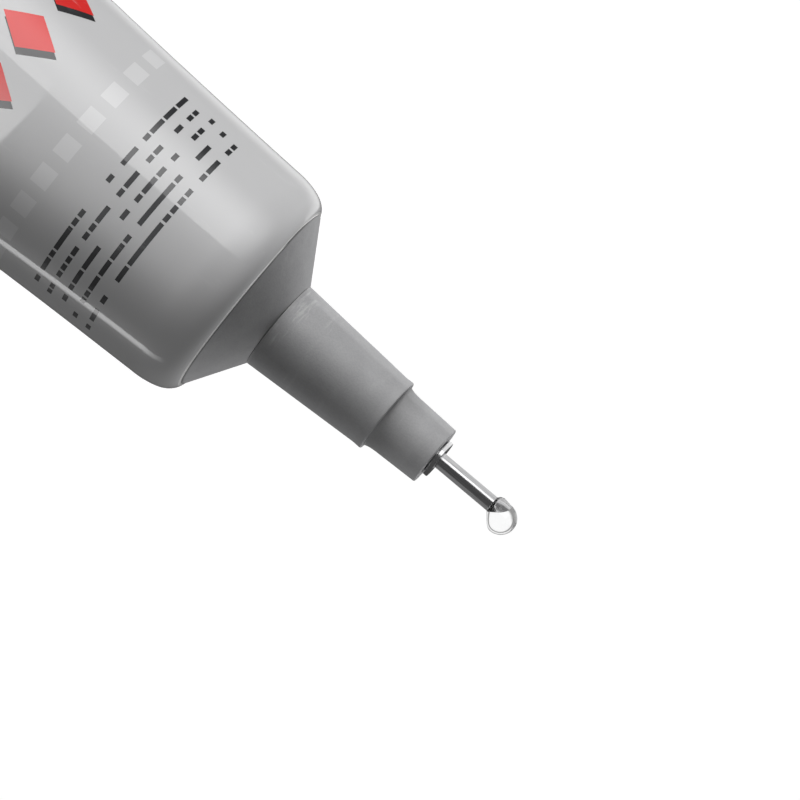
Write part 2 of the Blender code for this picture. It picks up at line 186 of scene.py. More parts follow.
def newMaterial(name):
    material = bpy.data.materials.new(name)
    material.use_nodes = True
    tree = material.node_tree
    coords = tree.nodes.new("ShaderNodeTexCoord")
    onTube = tree.nodes.new("ShaderNodeMapping")  # object metres to mm along the tube
    onTube.vector_type = "TEXTURE"
    feed(tree, onTube, Vector=coords.outputs["Object"], Location=tubeOrigin, Rotation=tubeTurn.to_euler(),
         Scale=(place["mm"],) * 3)
    return material, tree, tree.nodes["Principled BSDF"], onTube.outputs[0]


def bumpFrom(tree, shader, height, depth, strength):
    node = tree.nodes.new("ShaderNodeBump")
    feed(tree, node, Height=height, Distance=depth * place["mm"], Strength=strength)
    tree.links.new(node.outputs[0], shader.inputs["Normal"])


# Mesh helpers, all in mm on the tube's axes
# A profile's corner is its radius, its place along the tube and its rounding
meshing = {
    "roundSegments": 5, "weldGap": 0.0005, "sharp": 34,
    "threadSides": 14, "threadSteps": 48, "threadSharp": 50,
}


def spunProfile(corners, steps, closed=True):
    bm = bmesh.new()
    verts = [bm.verts.new((radius, 0.0, along)) for radius, along, _ in corners]
    for one, two in zip(verts, verts[1:] + verts[:1] if closed else verts[1:]):
        bm.edges.new((one, two))
    for vert, (_, _, rounding) in zip(verts, corners):
        if rounding:
            bmesh.ops.bevel(bm, geom=[vert], offset=rounding, offset_type="OFFSET", affect="VERTICES",
                            segments=meshing["roundSegments"], profile=0.5, material=-1, clamp_overlap=True)
    bmesh.ops.spin(bm, geom=bm.verts[:] + bm.edges[:], cent=(0, 0, 0), axis=(0, 0, 1),
                   angle=2 * math.pi, steps=steps, use_merge=True)
    return bm


def spunThread(ridge, radius, start, pitch, turns):
    bm = bmesh.new()
    steps = meshing["threadSteps"]
    bmesh.ops.create_circle(bm, segments=meshing["threadSides"], radius=ridge)
    lie = Matrix.Translation((radius, 0, start)) @ Matrix.Rotation(math.pi / 2, 4, "X")
    bmesh.ops.transform(bm, matrix=lie, verts=bm.verts)
    bmesh.ops.spin(bm, geom=bm.verts[:] + bm.edges[:], cent=(0, 0, 0), axis=(0, 0, 1),
                   dvec=(0, 0, pitch / steps), angle=2 * math.pi * turns, steps=round(steps * turns))
    bmesh.ops.holes_fill(bm, edges=[e for e in bm.edges if e.is_boundary], sides=0)
    return bm


def finishPiece(name, bm, material, body, node, sharp=meshing["sharp"], mend=True):
    if mend:
        bmesh.ops.remove_doubles(bm, verts=bm.verts, dist=meshing["weldGap"])
    bmesh.ops.recalc_face_normals(bm, faces=bm.faces)
    bmesh.ops.transform(bm, matrix=tubePlace, verts=bm.verts)
    mesh = bpy.data.meshes.new(name)
    bm.to_mesh(mesh)
    bm.free()
    mesh.polygons.foreach_set("use_smooth", [True] * len(mesh.polygons))
    mesh.set_sharp_from_angle(angle=math.radians(sharp))
    piece = bpy.data.objects.new(name, mesh)
    bpy.context.scene.collection.objects.link(piece)
    mesh.materials.append(material)
    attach(piece, body)
    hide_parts(node)
    print("made", name, "faces", len(mesh.polygons))
    return piece


def unit(value):
    return max(0.0, min(1.0, value))


# Sleeve: the soft printed laminate, round at the head and sealed flat at the tail
sleeve = {
    "radius": 11.0, "wall": 0.4,
    "length": 85.0, "sealLength": 6.0,
    "roundLength": 3.65, "roundDepth": 1.5,  # soft round over the head
    "sideTaper": 0.039, "tailPower": 2.5, "lensPower": 8.0, "halvings": 50,
    "sides": 360, "outlineSteps": 2400, "sealRings": 12, "taperRings": 46, "roundRings": 24,
    "innerRounds": 7, "innerRings": 12, "innerShort": 3.0, "foldReach": 1.0, "foldGap": 0.002,
    "ribPitch": 1.15, "ribDepth": 0.1, "ribMargin": 0.8, "ribFade": 0.5,  # pressed lines of the heat seal
    "ribEnds": (9, 7),  # how fast the lines deepen from the cut edge and from the soft wall
    "seamHalf": 1.3, "seamRise": 0.05, "seamFade": 0.35,  # overlap weld along the back
    "cutBead": ((9.45, 0.045), (9.4, 0.03), (9.39, -0.06)),  # cut edge of the rolled end
    "wave": 0.012, "waveFade": (6.0, 12.0), "shortShare": 0.6,  # slight unevenness of the soft wall
    "longWave": (9.1, 7.3), "slowWave": (11.7, 0.8), "shortWave": (5.5, 13.1),
    "rimLift": 0.46, "rimSkew": (0.012, -0.0022),  # the rim runs over the cone's foot, further on one side
    "skewFrom": -2.4, "skewPower": 1.5, "skewIn": 0.9, "skewInPower": 5,
}
girth = 2 * math.pi * sleeve["radius"]
endRadius = sleeve["radius"] - sleeve["roundDepth"]
drawStart = -sleeve["roundLength"]
sealStart = -sleeve["length"]
tailEnd = sealStart - sleeve["sealLength"]
taperLength = drawStart - sealStart
tableSlope = alongTube.z / alongTube.x
tableAtHead = tubeOrigin.z / place["mm"] / alongTube.x


def halfThickness(z):
    share = (drawStart - z) / taperLength
    early = sleeve["sideTaper"] * taperLength
    late = sleeve["radius"] - sleeve["wall"] - early
    return sleeve["radius"] - early * share - late * share ** sleeve["tailPower"]


def halfWidth(thickness):
    low, high = sleeve["radius"], girth / 2
    for _ in range(sleeve["halvings"]):  # until the oval has the sleeve's girth
        width = (low + high) / 2
        root = math.sqrt((3 * width + thickness) * (width + 3 * thickness))
        if math.pi * (3 * (width + thickness) - root) < girth:
            low = width
        else:
            high = width
    return (low + high) / 2


def evenSpread(points, count):
    loop = points + points[:1]
    runs = [0.0]
    for one, two in zip(loop, loop[1:]):
        runs.append(runs[-1] + math.dist(one, two))
    spread, at = [], 0
    for i in range(count):
        want = runs[-1] * i / count
        while runs[at + 1] < want:
            at += 1
        share = (want - runs[at]) / (runs[at + 1] - runs[at])
        spread.append([a + (b - a) * share for a, b in zip(loop[at], loop[at + 1])])
    return spread


def ovalRing(z, inset=0.0):
    z = max(z, sealStart)
    thickness = halfThickness(z)
    width = halfWidth(thickness) - inset
    flatness = max(0.0, 1 - ((drawStart - z) / taperLength) ** sleeve["lensPower"])
    table = tableAtHead + tableSlope * z - inset
    outline = []
    for i in range(sleeve["outlineSteps"]):  # from the middle of the back round by the left side
        angle = math.pi / 2 + 2 * math.pi * i / sleeve["outlineSteps"]
        side = math.sin(angle)
        bulge = 0.0 if abs(side) < 1e-9 else math.copysign(abs(side) ** flatness, side)
        outline.append((min((thickness - inset) * bulge, table), width * math.cos(angle)))
    return evenSpread(outline, sleeve["sides"])


def softWall(ring, z):
    # slight waves, the overlap weld on the back, and nothing below the table
    thickness = halfThickness(z)
    width = halfWidth(thickness)
    headFade, tailFade = sleeve["waveFade"]
    fade = min(1.0, (drawStart - z) / headFade) * unit((z - sealStart) / tailFade)
    longAround, longAlong = sleeve["longWave"]
    slowAlong, slowShift = sleeve["slowWave"]
    shortAround, shortAlong = sleeve["shortWave"]
    shaped = []
    for i, (x, y) in enumerate(ring):
        around = i / sleeve["sides"] * girth
        longPart = math.sin(around / longAround + z / longAlong) * math.sin(z / slowAlong + slowShift)
        wave = longPart + sleeve["shortShare"] * math.sin(around / shortAround - z / shortAlong)
        backGap = min(around, girth - around)
        weld = unit((sleeve["seamHalf"] - backGap) / sleeve["seamFade"])
        out = Vector((x / thickness ** 2, y / width ** 2)).normalized()
        push = sleeve["wave"] * wave * fade + sleeve["seamRise"] * weld * fade
        shaped.append((min(x + out.x * push, tableAtHead + tableSlope * z), y + out.y * push))
    return shaped


def ribbed(ring, share):
    edge = max(y for _, y in ring) - sleeve["ribMargin"]
    pressed = []
    for x, y in ring:
        groove = 0.5 - 0.5 * math.cos(2 * math.pi * y / sleeve["ribPitch"])
        keep = unit((edge - abs(y)) / sleeve["ribFade"]) * share
        pressed.append((x - math.copysign(sleeve["ribDepth"] * groove * keep, x), y))
    return pressed


def roundRing(radius):
    turns = [math.pi / 2 + 2 * math.pi * i / sleeve["sides"] for i in range(sleeve["sides"])]
    return [(radius * math.sin(t), radius * math.cos(t)) for t in turns]


def outerRings():
    rings = []
    sealRing = ovalRing(sealStart)
    for step in range(sleeve["sealRings"] + 1):  # heat seal from the tail's cut edge
        share = step / sleeve["sealRings"]
        press = min(1.0, share * sleeve["ribEnds"][0]) * min(1.0, (1 - share) * sleeve["ribEnds"][1])
        rings.append((ribbed(sealRing, press), tailEnd + sleeve["sealLength"] * share))
    for step in range(1, sleeve["taperRings"]):
        z = drawStart - taperLength * math.sin(math.pi / 2 * (1 - step / sleeve["taperRings"]))
        rings.append((softWall(ovalRing(z), z), z))
    for step in range(sleeve["roundRings"] + 1):  # rounded in over the head
        turn = math.pi / 2 * step / sleeve["roundRings"]
        radius = endRadius + sleeve["roundDepth"] * math.cos(turn)
        rings.append((roundRing(radius), sleeve["roundLength"] * (math.sin(turn) - 1)))
    return rings + [(roundRing(radius), z) for radius, z in sleeve["cutBead"]]


def innerRings():
    rings = []
    depth, length = sleeve["roundDepth"] - sleeve["wall"], sleeve["roundLength"] - sleeve["wall"]
    for step in range(sleeve["innerRounds"] + 1):
        turn = math.pi / 2 * (1 - step / sleeve["innerRounds"])
        radius = endRadius + depth * math.cos(turn)
        rings.append((roundRing(radius), length * math.sin(turn) - sleeve["roundLength"]))
    for step in range(sleeve["innerRings"]):
        share = math.sin(math.pi / 2 * step / (sleeve["innerRings"] - 1))
        z = drawStart - (taperLength - sleeve["innerShort"]) * share
        rings.append((ovalRing(z, sleeve["wall"]), z))
    return rings


def nextRing(bm, ring, outline, z):
    edges = [bm.edges.get((one, two)) for one, two in zip(ring, ring[1:] + ring[:1])]
    made = set(bmesh.ops.extrude_edge_only(bm, edges=edges)["geom"])
    twins = [next(e.other_vert(v) for e in v.link_edges if e.other_vert(v) in made) for v in ring]
    for twin, (x, y) in zip(twins, outline):
        twin.co = (x, y, z)
    return twins


def skewRim(bm):
    slope, bend = sleeve["rimSkew"]
    for vert in bm.verts:
        x, y, z = vert.co
        share = unit(1 - z / sleeve["skewFrom"])
        over = sleeve["rimLift"] + y * (y * bend - slope)
        inwards = 1 - sleeve["skewIn"] * over * share ** sleeve["skewInPower"] / sleeve["radius"]
        vert.co = (x * inwards, y * inwards, z + over * share ** sleeve["skewPower"])


def layPrint(bm, lay):
    layout = bm.loops.layers.uv.new("printLay")
    half = sleeve["sides"] / 2
    for face in bm.faces:
        spots = [lay.get(loop.vert) for loop in face.loops]
        if None in spots:
            continue
        wraps = max(i for i, _ in spots) - min(i for i, _ in spots) > half
        for loop, (i, z) in zip(face.loops, spots):
            turn = i + sleeve["sides"] if wraps and i < half else i
            loop[layout].uv = (turn / sleeve["sides"], 1 - z / tailEnd)


def makeSleeve(material):
    outer, inner = outerRings(), innerRings()
    bm = bmesh.new()
    ring = first = bmesh.ops.create_circle(bm, segments=sleeve["sides"], radius=1.0)["verts"]
    for vert, (x, y) in zip(ring, outer[0][0]):
        vert.co = (x, y, tailEnd)
    lay = {vert: (i, tailEnd) for i, vert in enumerate(ring)}  # each outer point's place on the flat print
    for outline, z in outer[1:]:
        ring = nextRing(bm, ring, outline, z)
        lay.update({vert: (i, z) for i, vert in enumerate(ring)})
    for outline, z in inner:
        ring = nextRing(bm, ring, outline, z)
    folds = ((first, tailEnd), (ring, inner[-1][1] - sleeve["foldReach"]))
    for loop, flatAt in folds:  # shut on the middle plane
        shut = nextRing(bm, loop, [(0.0, v.co.y) for v in loop], flatAt)
        bmesh.ops.remove_doubles(bm, verts=shut, dist=sleeve["foldGap"])
    skewRim(bm)
    layPrint(bm, lay)
    return finishPiece("tubeSleeve", bm, material, "tube", "sleeve", mend=False)


# Printed laminate: glossy light grey with plain marks in dark grey, red and a paler grey, and a painted
# highlight along the rolled end's cut edge
laminate = {
    "grey": (0.53, 0.53, 0.535, 1), "greyDark": (0.46, 0.46, 0.47, 1), "rubbed": (0.7, 0.7, 0.7, 1),
    "ink": (0.018, 0.018, 0.02, 1), "red": (0.62, 0.018, 0.016, 1), "pale": (0.72, 0.72, 0.725, 1),
    "edgeHighlight": (0.86, 0.86, 0.85, 1), "cutAt": -0.03,
    "frontHalf": 14.5,
    "pitchesOff": 64,  # whole pitches added, so that a row repeats on both sides of the middle
    "dashFirst": -14.9, "dashPitch": 1.45, "dashRows": 5, "dashHalf": 0.23,  # rows across the front
    "dashCell": 0.95, "dashGap": 0.24, "dashCells": 13, "rowShift": 0.37, "rowSeed": 57.0,
    "dashFrom": 0.2, "joinFrom": 0.6,
    "lozengeAt": -27.6, "lozengePitch": 5.6, "lozengeHalf": (1.9, 2.9), "shade": (-0.45, 0.5),
    "paleAt": -18.6, "palePitch": 3.1, "paleHalf": (0.95, 0.85), "paleAmount": 0.45,
    "grainScale": 1.1, "grainDepth": 0.006, "grainBump": 0.6, "toneAmount": 0.35, "toneShift": 0.12,
    "rubScale": 1.6, "rubSquash": (1, 1, 0.16), "rubStart": 0.6, "rubAmount": 0.16,
    "rough": 0.34, "roughTone": 0.12, "roughRub": 0.2, "specular": 0.4, "coat": 1.0, "coatRough": 0.02,
}


def repeated(tree, across, pitch, shift=0.0):
    # distance from the middle of the nearest repeat
    shifted = calc(tree, "ADD", across, laminate["pitchesOff"] * pitch - shift)
    return calc(tree, "PINGPONG", shifted, pitch / 2)


def dashRows(tree, across, along):
    rowAt = calc(tree, "DIVIDE", calc(tree, "SUBTRACT", along, laminate["dashFirst"]), laminate["dashPitch"])
    row = calc(tree, "FLOOR", rowAt)
    inRow = offFrom(tree, calc(tree, "SUBTRACT", rowAt, row), 0.5)
    thin = calc(tree, "LESS_THAN", inRow, laminate["dashHalf"] / laminate["dashPitch"])
    rowsLow = calc(tree, "GREATER_THAN", rowAt, 0.0)
    rowsHigh = calc(tree, "LESS_THAN", rowAt, laminate["dashRows"])
    cellAt = calc(tree, "ADD", calc(tree, "DIVIDE", across, laminate["dashCell"]),
                  calc(tree, "MULTIPLY", row, laminate["rowShift"]))
    cell = calc(tree, "FLOOR", cellAt)
    chance = tree.nodes.new("ShaderNodeTexWhiteNoise")
    chance.noise_dimensions = "1D"
    feed(tree, chance, W=calc(tree, "ADD", cell, calc(tree, "MULTIPLY", row, laminate["rowSeed"])))
    dashed = calc(tree, "GREATER_THAN", chance.outputs[0], laminate["dashFrom"])
    joined = calc(tree, "GREATER_THAN", chance.outputs[0], laminate["joinFrom"])  # runs on into the next cell
    inCell = calc(tree, "LESS_THAN", calc(tree, "SUBTRACT", cellAt, cell), 1 - laminate["dashGap"])
    offMiddle = calc(tree, "ABSOLUTE", calc(tree, "ADD", cell, 0.5))
    reach = calc(tree, "LESS_THAN", offMiddle, laminate["dashCells"])
    return allOf(tree, dashed, calc(tree, "MAXIMUM", joined, inCell), thin, rowsLow, rowsHigh, reach)


def lozenges(tree, across, along, shift=(0, 0)):
    halfAcross, halfAlong = laminate["lozengeHalf"]
    sideways = repeated(tree, across, laminate["lozengePitch"], shift[0])
    rise = offFrom(tree, along, laminate["lozengeAt"] + shift[1])
    reach = calc(tree, "ADD", calc(tree, "DIVIDE", sideways, halfAcross),
                 calc(tree, "DIVIDE", rise, halfAlong))
    return calc(tree, "LESS_THAN", reach, 1.0)


def paleBlocks(tree, across, along):
    halfAcross, halfAlong = laminate["paleHalf"]
    sideways = calc(tree, "LESS_THAN", repeated(tree, across, laminate["palePitch"]), halfAcross)
    rise = calc(tree, "LESS_THAN", offFrom(tree, along, laminate["paleAt"]), halfAlong)
    return calc(tree, "MULTIPLY", sideways, rise)


def makeLaminate():
    material, tree, shader, onTube = newMaterial("printedLaminate")
    lay = tree.nodes.new("ShaderNodeUVMap")
    lay.uv_map = "printLay"
    layU, layV, _ = splitAxes(tree, lay.outputs[0])
    across = calc(tree, "MULTIPLY", calc(tree, "SUBTRACT", layU, 0.5), girth)
    along = calc(tree, "MULTIPLY", calc(tree, "SUBTRACT", layV, 1.0), -tailEnd)
    front = calc(tree, "LESS_THAN", calc(tree, "ABSOLUTE", across), laminate["frontHalf"])
    redMask = allOf(tree, lozenges(tree, across, along), front)
    # a dark edge on one side of each lozenge
    shadeMask = allOf(tree, lozenges(tree, across, along, laminate["shade"]), front)
    paleMask = allOf(tree, paleBlocks(tree, across, along), front, laminate["paleAmount"])
    # painted highlight: a pale line on the cut edge of the rolled end, where it catches the light
    edgeHighlightMask = calc(tree, "GREATER_THAN", along, laminate["cutAt"])

    grain = useGroup(tree, grainGroup, Vector=onTube, Scale=laminate["grainScale"])
    rubs = useGroup(tree, rubGroup, Vector=stretched(tree, onTube, laminate["rubSquash"]),
                    Scale=laminate["rubScale"], Start=laminate["rubStart"])
    tone = calc(tree, "MULTIPLY", grain["Tone"], laminate["toneAmount"])
    tone = calc(tree, "ADD", tone, laminate["toneShift"], clamp=True)
    colour = blendColour(tree, tone, laminate["grey"], laminate["greyDark"])
    for mask, ink in ((paleMask, "pale"), (shadeMask, "ink"), (redMask, "red"),
                      (dashRows(tree, across, along), "ink"), (edgeHighlightMask, "edgeHighlight"),
                      (calc(tree, "MULTIPLY", rubs["Mask"], laminate["rubAmount"]), "rubbed")):
        colour = blendColour(tree, mask, colour, laminate[ink])
    rough = roughFrom(tree, laminate["rough"], (grain["Tone"], laminate["roughTone"]),
                      (rubs["Mask"], laminate["roughRub"]))
    feed(tree, shader, Base_Color=colour, Roughness=rough, Specular_IOR_Level=laminate["specular"],
         Coat_Weight=laminate["coat"], Coat_Roughness=laminate["coatRough"])
    bumpFrom(tree, shader, grain["Height"], laminate["grainDepth"], laminate["grainBump"])
    return material


# Grey mouldings: matt polypropylene with a fine spark-eroded grain, rubbed a little lighter on the nozzle, with
# painted shade along the sleeve's rim and above the nozzle's step
moulding = {
    "light": (0.318, 0.318, 0.323, 1), "dark": (0.203, 0.203, 0.208, 1), "rubbed": (0.52, 0.52, 0.52, 1),
    # painted shade: the dark colour blended in along the sleeve's rim and above the nozzle's step
    "paintedShade": (0.12, 0.12, 0.12, 1), "paintedShadeReach": (0.04, 0.17),
    "grainScale": 6.5, "grainDepth": 0.02, "grainBump": 0.55,
    "speckle": 0.12, "speckleReach": (0.35, 0.7), "toneAmount": 0.5, "toneShift": 0.3,
    "rubScale": 1.3, "rubFar": 0.2, "rough": 0.44, "roughTone": 0.25, "specular": 0.35,
}
headRubs = {"amount": 0.1, "squash": (1, 1, 0.4), "shift": (0, 0, 0), "start": 0.56, "reach": (2.0, 6.0)}
nozzleRubs = {
    "amount": 0.36, "squash": (0.35, 0.35, 2.2), "shift": (-0.18, 2.58, 5.0), "start": 0.53,
    "reach": (5.5, 9.0),
    # painted shade: the tip is a little darker next to the step, where the step's shadow falls
    "stepFoot": 15.56, "stepShadeReach": (15.6, 18.8), "stepShade": 0.4,
}


def makeMoulding(name, rub, rimShade=False):
    material, tree, shader, onTube = newMaterial(name)
    _, across, along = splitAxes(tree, onTube)
    grain = useGroup(tree, grainGroup, Vector=onTube, Scale=moulding["grainScale"])
    rubs = useGroup(tree, rubGroup, Vector=stretched(tree, onTube, rub["squash"], rub["shift"]),
                    Scale=moulding["rubScale"], Start=rub["start"])
    speckle = remap(tree, grain["Height"], *moulding["speckleReach"], -moulding["speckle"],
                    moulding["speckle"])
    tone = calc(tree, "ADD", calc(tree, "MULTIPLY", grain["Tone"], moulding["toneAmount"]),
                calc(tree, "ADD", speckle, moulding["toneShift"]), clamp=True)
    colour = blendColour(tree, tone, moulding["light"], moulding["dark"])
    near = remap(tree, along, *rub["reach"], rub["amount"], rub["amount"] * moulding["rubFar"])
    colour = blendColour(tree, calc(tree, "MULTIPLY", rubs["Mask"], near), colour, moulding["rubbed"])
    if rimShade:  # painted shade: the cone darkens along the sleeve's rim, where the rim's shadow falls
        slope, bend = sleeve["rimSkew"]
        skewed = calc(tree, "MULTIPLY_ADD", across, bend, -slope)
        skewed = calc(tree, "MULTIPLY_ADD", across, skewed, sleeve["rimLift"])
        clear = remap(tree, calc(tree, "SUBTRACT", along, skewed), *moulding["paintedShadeReach"])
        colour = blendColour(tree, clear, moulding["paintedShade"], colour)
    # painted shade just above the step, darkest at its foot
    if "stepShade" in rub:
        aboveStep = calc(tree, "GREATER_THAN", along, rub["stepFoot"])
        stepShade = remap(tree, along, *rub["stepShadeReach"], rub["stepShade"], 0.0)
        colour = blendColour(tree, calc(tree, "MULTIPLY", aboveStep, stepShade), colour, moulding["paintedShade"])
    rough = roughFrom(tree, moulding["rough"], (grain["Tone"], moulding["roughTone"]))
    feed(tree, shader, Base_Color=colour, Roughness=rough, Specular_IOR_Level=moulding["specular"])
    bumpFrom(tree, shader, grain["Height"], moulding["grainDepth"], moulding["grainBump"])
    return material


# Steel of the needle and its collar: bright, drawn lengthwise or turned
steel = {
    "bright": (0.66, 0.66, 0.665, 1), "dull": (0.45, 0.45, 0.46, 1), "dullReach": (0.35, 0.75),
    "drawnLines": (1.6, 1.6, 0.05), "turnedLines": (0.12, 0.12, 2.0),
    "lineScale": 9.0, "lineDetail": 3.0, "lineRough": 0.6, "lineDepth": 0.003, "lineBump": 0.5,
    "grainScale": 3.0, "rough": 0.13, "roughLines": 0.1, "roughTone": 0.1,
}


def makeSteel(name, squash):
    material, tree, shader, onTube = newMaterial(name)
    lines = noiseAt(tree, stretched(tree, onTube, squash), steel["lineScale"], steel["lineDetail"],
                    steel["lineRough"])
    grain = useGroup(tree, grainGroup, Vector=onTube, Scale=steel["grainScale"])
    colour = blendColour(tree, remap(tree, lines, *steel["dullReach"]), steel["bright"], steel["dull"])
    rough = roughFrom(tree, steel["rough"], (lines, steel["roughLines"]),
                      (grain["Tone"], steel["roughTone"]))
    feed(tree, shader, Base_Color=colour, Roughness=rough, Metallic=1.0)
    bumpFrom(tree, shader, lines, steel["lineDepth"], steel["lineBump"])
    return material


# Clear glue: wet and colourless, with a barely uneven skin
glue = {
    "wet": (1, 1, 1, 1), "wetRipple": 0.004, "stored": (0.97, 0.97, 0.96, 1), "storedRipple": 0.01,
    "grainScale": 0.8, "bump": 0.3, "rough": 0.012, "roughTone": 0.03, "bend": 1.46,
}


def makeGlue(name, tint, ripple):
    material, tree, shader, onTube = newMaterial(name)
    grain = useGroup(tree, grainGroup, Vector=onTube, Scale=glue["grainScale"])
    rough = roughFrom(tree, glue["rough"], (calc(tree, "ABSOLUTE", grain["Tone"]), glue["roughTone"]))
    feed(tree, shader, Base_Color=tint, Roughness=rough, Transmission_Weight=1.0, IOR=glue["bend"])
    bumpFrom(tree, shader, grain["Height"], ripple, glue["bump"])
    return material


# Foil of the barrier disc and foam of the washer, both inside the head
lining = {"darkReach": (0.3, 0.75), "roughTone": 0.3, "bump": 0.7}
foil = {
    "light": (0.72, 0.72, 0.74, 1), "dark": (0.55, 0.55, 0.57, 1), "metal": 1.0,
    "grainScale": 3.0, "grainDepth": 0.02, "rough": 0.34,
}
foam = {
    "light": (0.80, 0.80, 0.78, 1), "dark": (0.62, 0.62, 0.60, 1), "metal": 0.0,
    "grainScale": 8.0, "grainDepth": 0.04, "rough": 0.8,
}


def makeLining(name, finish):
    material, tree, shader, onTube = newMaterial(name)
    grain = useGroup(tree, grainGroup, Vector=onTube, Scale=finish["grainScale"])
    dark = remap(tree, grain["Height"], *lining["darkReach"])
    colour = blendColour(tree, dark, finish["light"], finish["dark"])
    rough = roughFrom(tree, finish["rough"], (grain["Tone"], lining["roughTone"]))
    feed(tree, shader, Base_Color=colour, Roughness=rough, Metallic=finish["metal"])
    bumpFrom(tree, shader, grain["Height"], finish["grainDepth"], lining["bump"])
    return material


tubeLaminate = makeLaminate()
headGrey = makeMoulding("headMoulding", headRubs, rimShade=True)
nozzleGrey = makeMoulding("nozzleMoulding", nozzleRubs)
needleSteel = makeSteel("drawnSteel", steel["drawnLines"])
collarSteel = makeSteel("turnedSteel", steel["turnedLines"])
dropGlue = makeGlue("wetGlue", glue["wet"], glue["wetRipple"])
innerGlue = makeGlue("storedGlue", glue["stored"], glue["storedRipple"])
barrierFoil = makeLining("barrierFoil", foil)
washerFoam = makeLining("washerFoam", foam)
print("materials made:", len(bpy.data.materials))

tubeSleeve = makeSleeve(tubeLaminate)

# Shoulder: the moulded head with its cone, neck and thread
head = {
    "coneFoot": (9.3, -0.12), "coneTop": (4.2, 3.5), "coneWall": 1.0, "coneStart": 0.3, "coneInner": 3.89,
    "neckRadius": 2.5, "neckBore": 1.4, "neckEnd": 9.4,
    "footEnd": -0.55, "underRound": ((9.7, -0.75), (10.15, -1.3), (10.4, -2.4)),  # under the sleeve's round
    "skirtRadius": 10.45, "skirtInner": 9.65, "skirtTop": -3.5, "skirtEnd": -4.0, "skirtRoof": -1.41,
    "ridge": 0.42, "pitch": 1.8, "ridgeStart": 4.75, "ridgeTurns": 2.2,
    "steps": 144,
}
coneUnder = head["coneTop"][1] - head["coneWall"]
shoulderProfile = [
    (head["neckBore"], head["neckEnd"], 0.12),
    (head["neckRadius"], head["neckEnd"], 0.2),
    (head["neckRadius"], head["coneTop"][1], 0.15),
    (*head["coneTop"], 0.1),
    (head["coneFoot"][0], head["coneStart"], 0.03),
    (*head["coneFoot"], 0.0),
    (head["coneFoot"][0], head["footEnd"], 0.0),
    *((*corner, 0.1) for corner in head["underRound"]),
    (head["skirtRadius"], head["skirtTop"], 0.0),
    (head["skirtRadius"], head["skirtEnd"], 0.15),
    (head["skirtInner"], head["skirtEnd"], 0.15),
    (head["skirtInner"], head["skirtRoof"], 0.3),
    (head["coneInner"], coneUnder, 0.4),
    (head["neckBore"], coneUnder, 0.2),
]
shoulderMesh = spunProfile(shoulderProfile, head["steps"])
tubeShoulder = finishPiece("tubeShoulder", shoulderMesh, headGrey, "tube", "shoulder")
ridgeMesh = spunThread(head["ridge"], head["neckRadius"], head["ridgeStart"], head["pitch"],
                       head["ridgeTurns"])
neckThread = finishPiece("neckThread", ridgeMesh, headGrey, "tube", "shoulder",
                         meshing["threadSharp"])

# Nozzle: the tapered moulding with a step and a thinner tip, screwed on the neck
nozzle = {
    "base": 3.525, "baseRadius": 4.2, "step": 15.55, "stepRadius": 3.5,
    "lip": 0.05, "lipLength": 0.35, "lipFoot": (0.025, 0.75),
    "flareRadius": 3.23, "flareSteps": 6,
    "tipBase": (2.92, 17.15), "tipEnd": (2.78, 20.85), "tipRound": 0.13,
    "socketRadius": 3.05, "socketSlope": (0.35, 0.4), "land": 10.4, "channel": 1.0, "seat": (1.3, 17.55),
    "ridge": 0.3, "ridgeTurns": 1.9,
    "steps": 144,
}
flare = []
for step in range(1, nozzle["flareSteps"]):
    turn = math.pi / 2 * step / nozzle["flareSteps"]
    flareOut = (nozzle["flareRadius"] - nozzle["tipBase"][0]) * (1 - math.cos(turn))
    flareUp = (nozzle["tipBase"][1] - nozzle["step"]) * (1 - math.sin(turn))
    flare.append((nozzle["tipBase"][0] + flareOut, nozzle["step"] + flareUp, 0.0))
lipRadius = nozzle["stepRadius"] + nozzle["lip"]
nozzleProfile = [
    (nozzle["seat"][0], nozzle["tipEnd"][1], 0.08),
    (*nozzle["tipEnd"], nozzle["tipRound"]),
    (*nozzle["tipBase"], 0.0),
    *flare,
    (nozzle["flareRadius"], nozzle["step"], 0.06),
    (lipRadius, nozzle["step"], 0.12),
    (lipRadius, nozzle["step"] - nozzle["lipLength"], 0.1),
    (nozzle["stepRadius"] + nozzle["lipFoot"][0], nozzle["step"] - nozzle["lipFoot"][1], 0.2),
    (nozzle["baseRadius"], nozzle["base"], 0.06),
    (nozzle["socketRadius"], nozzle["base"], 0.2),
    (nozzle["socketRadius"], nozzle["land"] - nozzle["socketSlope"][1], 0.2),
    (nozzle["socketRadius"] - nozzle["socketSlope"][0], nozzle["land"], 0.1),
    (nozzle["channel"], nozzle["land"], 0.1),
    (nozzle["channel"], nozzle["seat"][1], 0.0),
    (*nozzle["seat"], 0.0),
]
nozzleMesh = spunProfile(nozzleProfile, nozzle["steps"])
tubeNozzle = finishPiece("tubeNozzle", nozzleMesh, nozzleGrey, "applicator", "nozzle")
ridgeMesh = spunThread(nozzle["ridge"], nozzle["socketRadius"], head["ridgeStart"] + head["pitch"] / 2,
                       head["pitch"], nozzle["ridgeTurns"])
nozzleThread = finishPiece("nozzleThread", ridgeMesh, nozzleGrey, "applicator", "nozzle",
                           meshing["threadSharp"])

